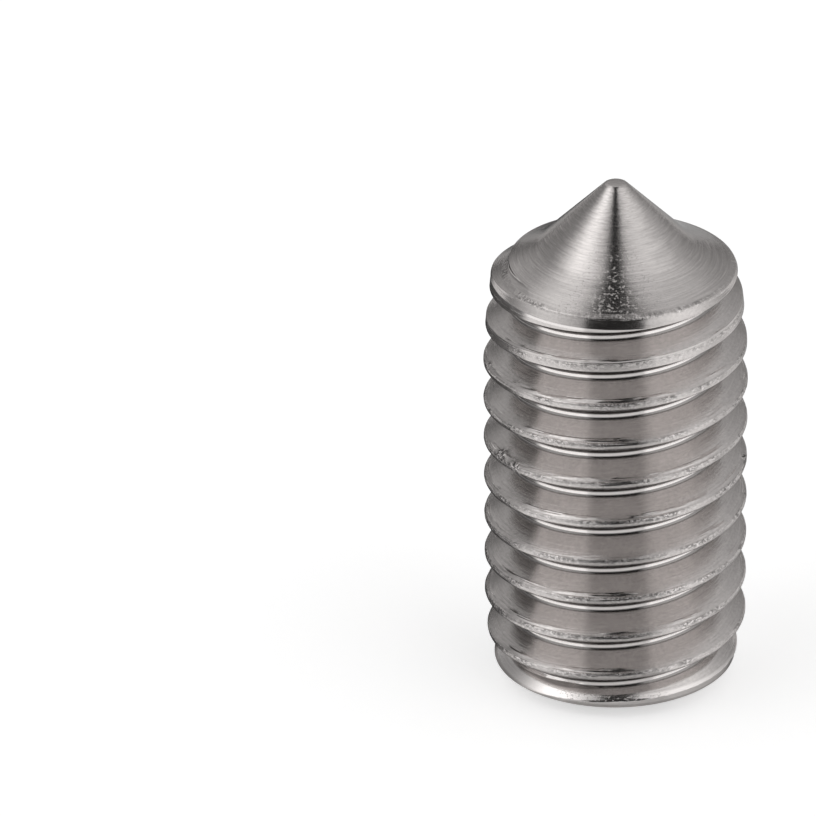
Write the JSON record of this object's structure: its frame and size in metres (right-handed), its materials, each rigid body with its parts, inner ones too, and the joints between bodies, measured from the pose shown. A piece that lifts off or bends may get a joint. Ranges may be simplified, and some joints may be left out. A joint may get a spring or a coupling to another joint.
{
  "type": "grub set screw",
  "caption": "Headless metric set screw with a right-hand thread over its whole length, a cone point at one end and a hexagon socket in the other.",
  "frame": {"origin": "centre of the flat ring around the socket, on which the screw stands", "axes": "+Z along the screw's axis towards the cone point; a flat of the hexagon socket faces +Y and another faces -Y"},
  "size_m": [0.0048, 0.0048, 0.01],
  "materials": {
    "steel": "bright turned and rolled stainless steel, fine lathe lines, slightly rough crests"
  },
  "bodies": {
    "root": {"set_screw": "steel"}
  },
  "joints": []
}
